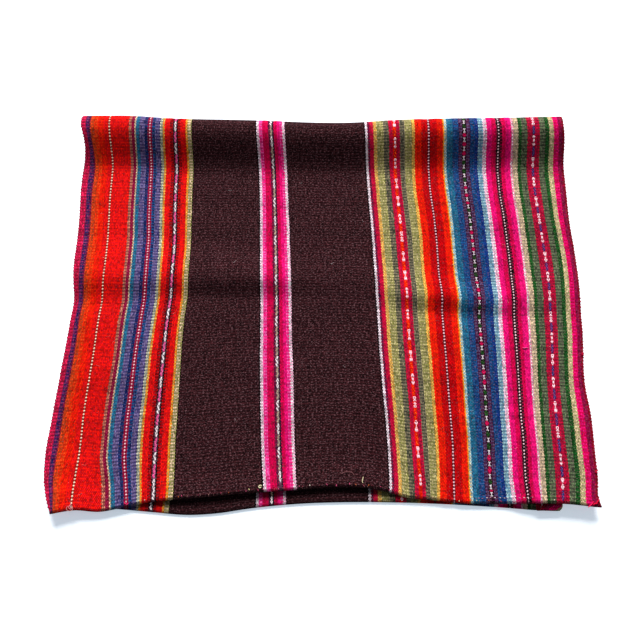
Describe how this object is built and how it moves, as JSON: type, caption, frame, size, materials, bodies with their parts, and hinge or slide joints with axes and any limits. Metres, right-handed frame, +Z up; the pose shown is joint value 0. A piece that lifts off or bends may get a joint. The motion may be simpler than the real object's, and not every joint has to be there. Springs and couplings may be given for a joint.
{
  "type": "folded aguayo carrying cloth",
  "caption": "Folded carrying cloth: a loom width of thick striped wool, doubled over a soft standing fold, with its two hems together at the front.",
  "frame": {"origin": "under the middle of the folded cloth, on the surface that it lies on", "axes": "+X along the cloth's width, from selvedge to selvedge; +Y from the two hems towards the fold; +Z up"},
  "size_m": [0.583, 0.4531, 0.03],
  "materials": {
    "striped_wool": "warp-faced wool weave in bright stripes beside plain dark brown bands, matte, with a little loose fibre"
  },
  "bodies": {
    "root": {"folded_cloth": "striped_wool"}
  },
  "joints": []
}
